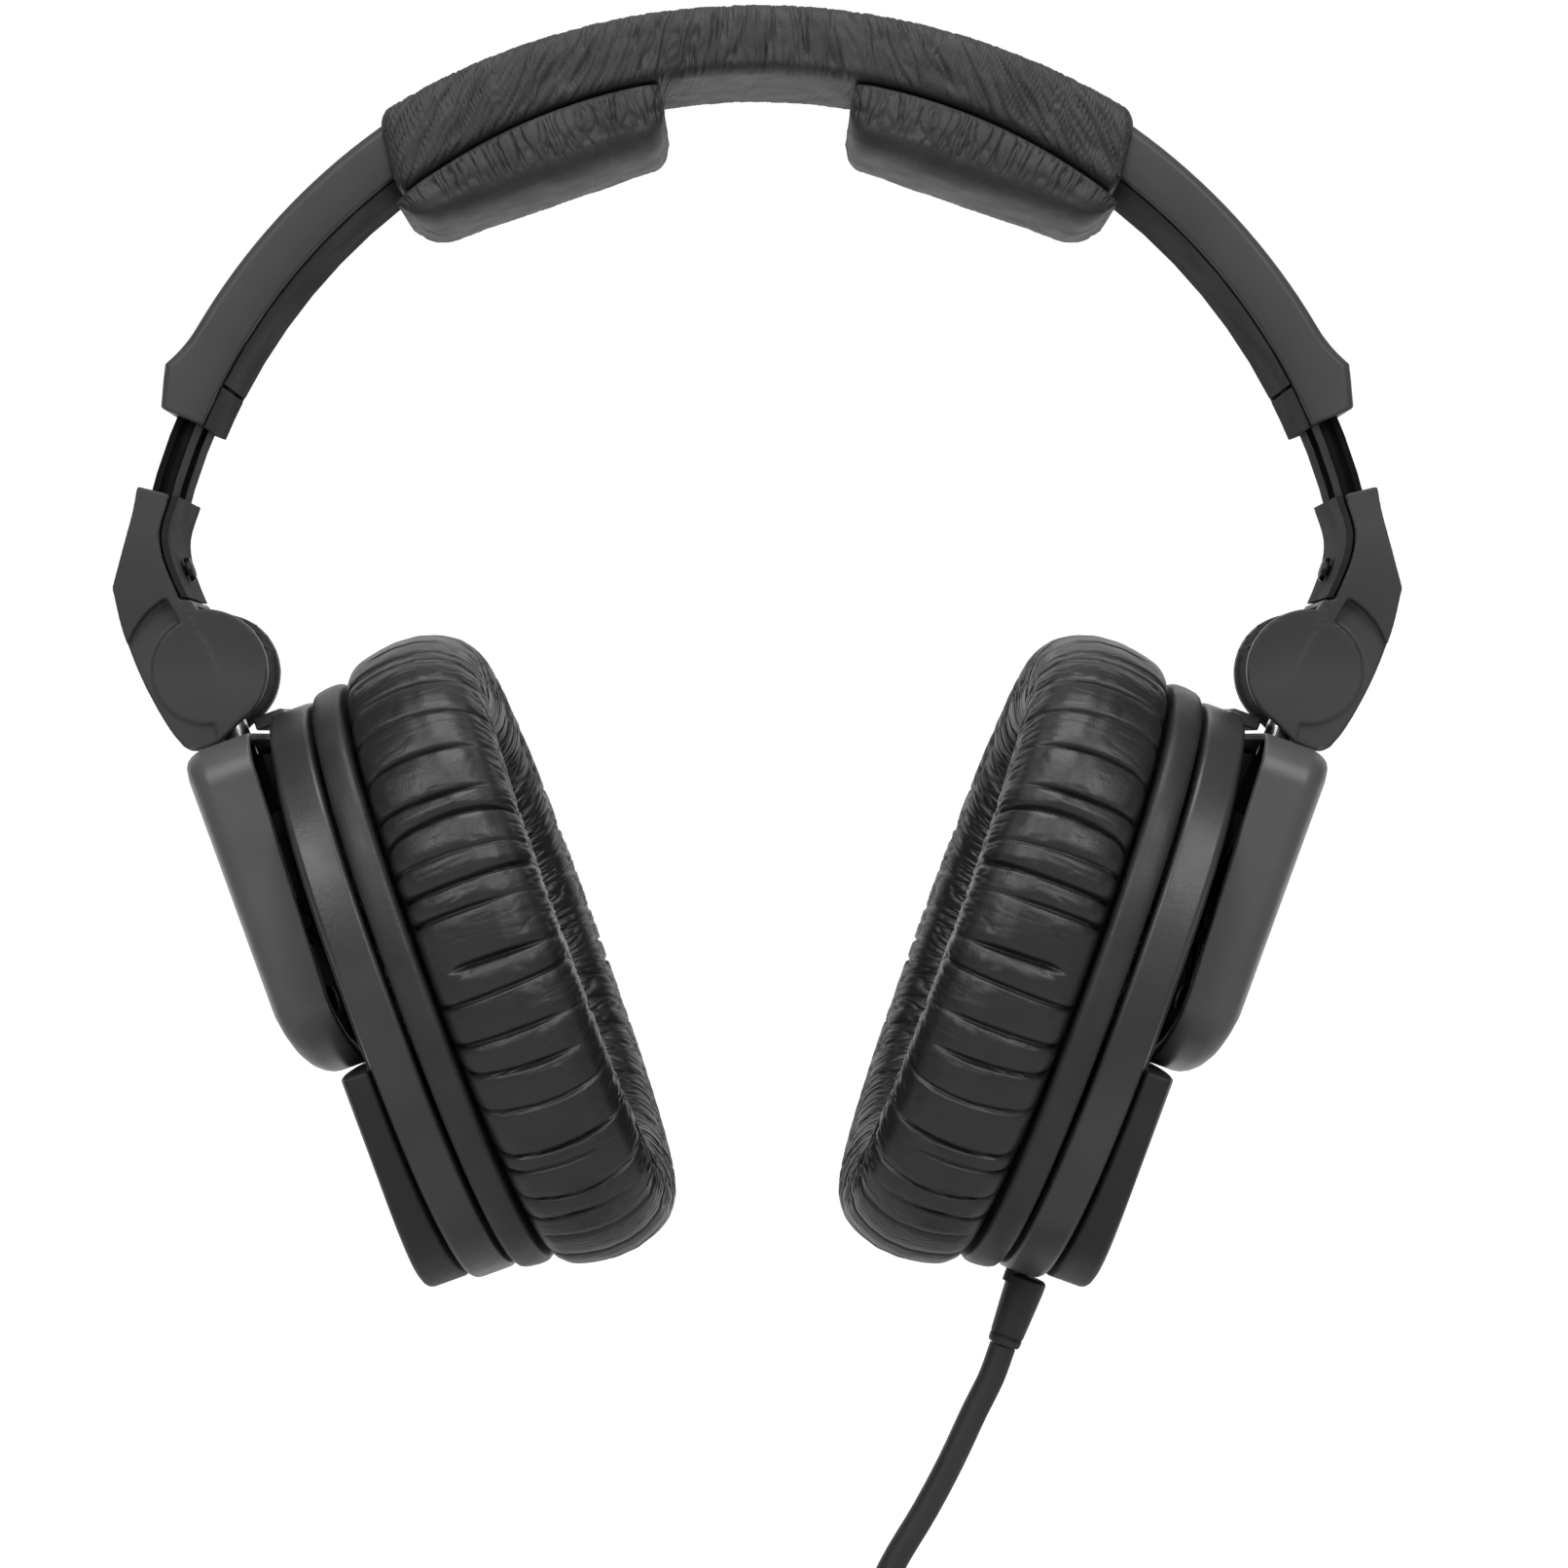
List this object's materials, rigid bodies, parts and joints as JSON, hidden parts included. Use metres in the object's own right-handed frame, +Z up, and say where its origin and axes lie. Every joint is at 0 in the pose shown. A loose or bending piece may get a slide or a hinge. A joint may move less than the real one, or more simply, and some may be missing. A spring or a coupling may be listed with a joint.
{
  "type": "over ear headphones",
  "caption": "Closed over ear studio headphones: padded extending headband, arms with fold hinges, swivelling and tilting cups with pleated ear pads, single sided lead.",
  "frame": {"origin": "Middle of the flat underside of the headband cover at the crown, where the headphones rest on a head, a hook or a stand.", "axes": "+Z up with the headphones worn or hung, wearer facing -Y, +X to the wearer's left, where the lead leaves the cup."},
  "size_m": [0.1888, 0.0835, 0.3848],
  "materials": {
    "headband_shell": "satin moulded nylon",
    "moulded_black": "fine matt moulded plastic",
    "arm_black": "satin moulded nylon",
    "slider_nylon": "satin glass filled nylon",
    "housing_grey": "fine spark eroded texture",
    "yoke_grey": "satin",
    "leatherette": "wrinkled soft leatherette",
    "ear_leatherette": "semi gloss pleated leatherette",
    "steel": "ground steel",
    "dark_steel": "blackened steel",
    "spring_steel": "blued spring steel",
    "foam": "open cell foam",
    "diaphragm_film": "formed film",
    "rubber": "smooth matt sheath",
    "hook_fabric": "hook and loop strap",
    "plug_metal": "gold plated"
  },
  "bodies": {
    "headband": {"headband_shell": "headband_shell", "headband_liner": "moulded_black", "spring_band": "spring_steel", "headband_cover": "leatherette", "left_crown_cushion": "leatherette", "right_crown_cushion": "leatherette", "left_end_clip": "moulded_black", "right_end_clip": "moulded_black", "left_detent_spring": "spring_steel", "right_detent_spring": "spring_steel"},
    "left_arm": {"left_slider_bar": "slider_nylon", "left_arm_shell": "arm_black", "left_arm_inner_cover": "arm_black", "left_hinge_pin": "steel", "left_arm_screw": "steel"},
    "left_barrel": {"left_fold_barrel": "moulded_black"},
    "left_yoke": {"left_swivel_pin": "steel", "left_yoke_shell": "yoke_grey", "left_yoke_inner_plate": "moulded_black", "left_tilt_axle": "dark_steel", "left_yoke_screw": "dark_steel"},
    "left_cup": {"left_back_cover": "moulded_black", "left_cup_housing": "housing_grey", "left_pad_flange": "moulded_black", "left_baffle_plate": "moulded_black", "left_driver_frame": "moulded_black", "left_driver_magnet": "steel", "left_driver_diaphragm": "diaphragm_film", "left_driver_grille": "moulded_black", "left_damping_foam": "foam", "left_ear_pad": "ear_leatherette", "cord_strain_relief": "rubber", "cord_lead": "rubber", "cord_coil": "rubber", "cord_tie": "hook_fabric", "jack_plug": "plug_metal"},
    "right_arm": {"right_slider_bar": "slider_nylon", "right_arm_shell": "arm_black", "right_arm_inner_cover": "arm_black", "right_hinge_pin": "steel", "right_arm_screw": "steel"},
    "right_barrel": {"right_fold_barrel": "moulded_black"},
    "right_yoke": {"right_swivel_pin": "steel", "right_yoke_shell": "yoke_grey", "right_yoke_inner_plate": "moulded_black", "right_tilt_axle": "dark_steel", "right_yoke_screw": "dark_steel"},
    "right_cup": {"right_back_cover": "moulded_black", "right_cup_housing": "housing_grey", "right_pad_flange": "moulded_black", "right_baffle_plate": "moulded_black", "right_driver_frame": "moulded_black", "right_driver_magnet": "steel", "right_driver_diaphragm": "diaphragm_film", "right_driver_grille": "moulded_black", "right_damping_foam": "foam", "right_ear_pad": "ear_leatherette"}
  },
  "joints": [
    {"name": "left_extension", "type": "hinge", "parent": "headband", "child": "left_arm", "pos_m": [0, 0, -0.0849], "axis": [0, 1, 0], "range_deg": [-5.1, 12.7]},
    {"name": "left_fold", "type": "hinge", "parent": "left_arm", "child": "left_barrel", "pos_m": [0.0809, 0, -0.0868], "axis": [0, 1, 0], "range_deg": [0, 65], "deforming": ["cord_lead"]},
    {"name": "left_swivel", "type": "hinge", "parent": "left_barrel", "child": "left_yoke", "pos_m": [0.0809, 0, -0.0868], "axis": [0.342, 0, 0.9397], "range_deg": [-20, 20]},
    {"name": "left_tilt", "type": "hinge", "parent": "left_yoke", "child": "left_cup", "pos_m": [0.06513, -0.00006, -0.12328], "axis": [-0.0246, 0.9997, 0.009], "range_deg": [-5, 2]},
    {"name": "right_extension", "type": "hinge", "parent": "headband", "child": "right_arm", "pos_m": [0, 0, -0.0849], "axis": [0, 1, 0], "range_deg": [-12.7, 5.1]},
    {"name": "right_fold", "type": "hinge", "parent": "right_arm", "child": "right_barrel", "pos_m": [-0.0809, 0, -0.0868], "axis": [0, 1, 0], "range_deg": [-65, 0]},
    {"name": "right_swivel", "type": "hinge", "parent": "right_barrel", "child": "right_yoke", "pos_m": [-0.0809, 0, -0.0868], "axis": [-0.342, 0, 0.9397], "range_deg": [-20, 20]},
    {"name": "right_tilt", "type": "hinge", "parent": "right_yoke", "child": "right_cup", "pos_m": [-0.06513, -0.00006, -0.12328], "axis": [0.0246, 0.9997, 0.009], "range_deg": [-2, 5]}
  ]
}
